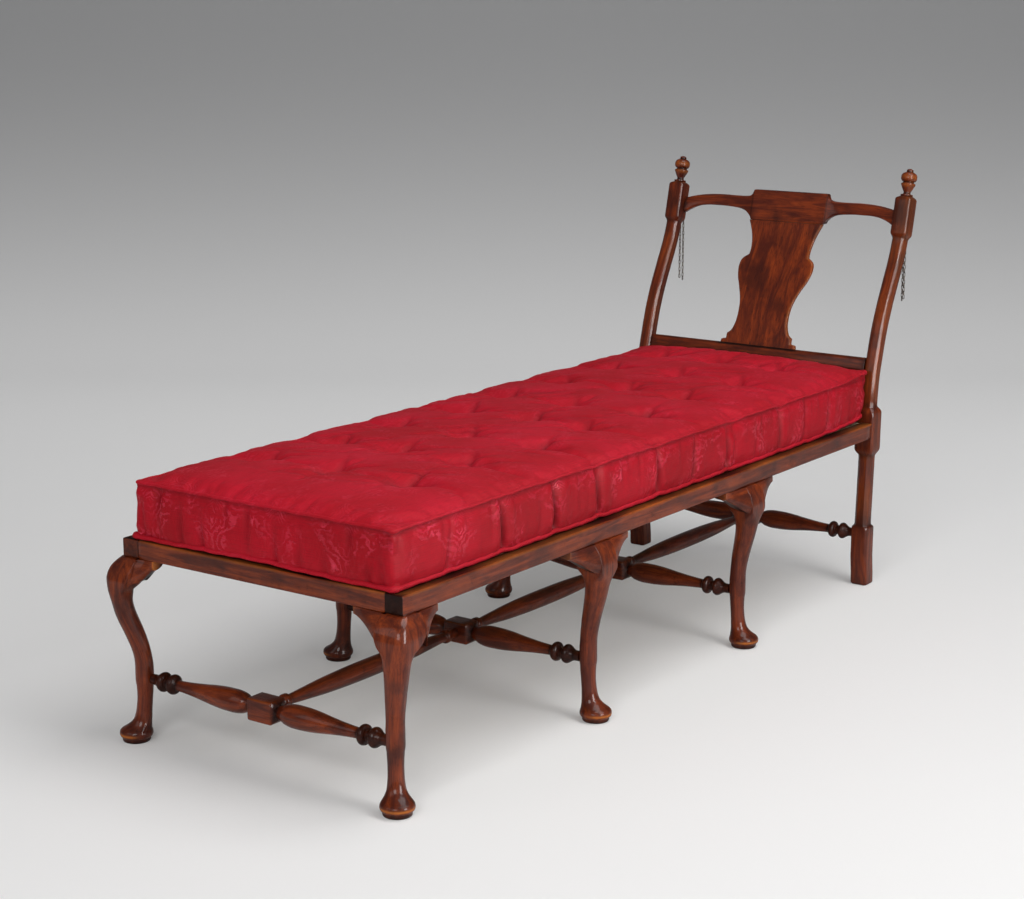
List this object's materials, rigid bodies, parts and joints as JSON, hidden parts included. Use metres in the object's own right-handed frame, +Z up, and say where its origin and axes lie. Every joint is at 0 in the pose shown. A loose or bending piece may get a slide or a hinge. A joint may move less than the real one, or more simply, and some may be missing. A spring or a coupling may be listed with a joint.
{
  "type": "fainting couch",
  "caption": "Long daybed on cabriole and square legs with turned stretchers, a loose tufted cushion, and a shaped splat back that lets down on chains between its posts.",
  "frame": {"origin": "on the floor under the middle of the whole piece", "axes": "+X towards the head end with the back, +Y towards the far long side, +Z up"},
  "size_m": [1.9176, 0.6866, 0.9315],
  "materials": {
    "wood": "old oil and wax polish, glossy",
    "iron": "dark worn iron",
    "cushion_cover": "silk damask, soft sheen",
    "canvas": "plain sacking, matte"
  },
  "bodies": {
    "frame": {"side_rail_near": "wood", "side_rail_far": "wood", "foot_rail": "wood", "head_rail": "wood", "canvas_deck": "canvas", "leg_foot_near": "wood", "leg_foot_far": "wood", "leg_second_near": "wood", "leg_second_far": "wood", "leg_third_near": "wood", "leg_third_far": "wood", "knee_bracket_foot_head_near": "wood", "knee_bracket_foot_head_far": "wood", "knee_bracket_foot_inner_near": "wood", "knee_bracket_foot_inner_far": "wood", "knee_bracket_second_head_near": "wood", "knee_bracket_second_head_far": "wood", "knee_bracket_second_foot_near": "wood", "knee_bracket_second_foot_far": "wood", "knee_bracket_third_head_near": "wood", "knee_bracket_third_head_far": "wood", "knee_bracket_third_foot_near": "wood", "knee_bracket_third_foot_far": "wood", "head_post_near": "wood", "head_post_far": "wood", "cross_stretcher_foot": "wood", "cross_stretcher_second": "wood", "cross_stretcher_third": "wood", "cross_stretcher_head": "wood", "middle_spindle_foot": "wood", "middle_spindle_middle": "wood", "middle_spindle_head": "wood", "pivot_pin_near": "iron", "pivot_pin_far": "iron", "post_staple_near": "iron", "post_staple_far": "iron", "seat_cushion": "cushion_cover"},
    "back": {"lower_back_rail": "wood", "back_splat": "wood", "crest_rail": "wood", "crest_hook_near": "iron", "crest_hook_far": "iron"},
    "chain_on_post_near": {"chain_on_post_near": "iron"},
    "chain_on_post_far": {"chain_on_post_far": "iron"},
    "chain_on_back_near": {"chain_on_back_near": "iron"},
    "chain_on_back_far": {"chain_on_back_far": "iron"}
  },
  "joints": [
    {"name": "back_tilt", "type": "hinge", "parent": "frame", "child": "back", "pos_m": [0.79407, 0, 0.5], "axis": [0, 1, 0], "range_deg": [0, 60.2]},
    {"name": "chain_on_post_near_swing", "type": "hinge", "parent": "frame", "child": "chain_on_post_near", "pos_m": [0.93593, -0.299, 0.789], "axis": [0, 1, 0], "range_deg": [-37.1, 0]},
    {"name": "chain_on_back_near_swing", "type": "hinge", "parent": "back", "child": "chain_on_back_near", "pos_m": [0.94069, -0.293, 0.809], "axis": [0, 1, 0], "range_deg": [0, 82.5]},
    {"name": "chain_on_post_far_swing", "type": "hinge", "parent": "frame", "child": "chain_on_post_far", "pos_m": [0.93593, 0.299, 0.789], "axis": [0, 1, 0], "range_deg": [-37.1, 0]},
    {"name": "chain_on_back_far_swing", "type": "hinge", "parent": "back", "child": "chain_on_back_far", "pos_m": [0.94069, 0.293, 0.809], "axis": [0, 1, 0], "range_deg": [0, 82.5]}
  ],
  "couplings": [
    {"joint": "chain_on_post_near_swing", "follows": "back_tilt", "ratio": -0.6159},
    {"joint": "chain_on_back_near_swing", "follows": "back_tilt", "ratio": 1.3704},
    {"joint": "chain_on_post_far_swing", "follows": "back_tilt", "ratio": -0.6159},
    {"joint": "chain_on_back_far_swing", "follows": "back_tilt", "ratio": 1.3704}
  ]
}
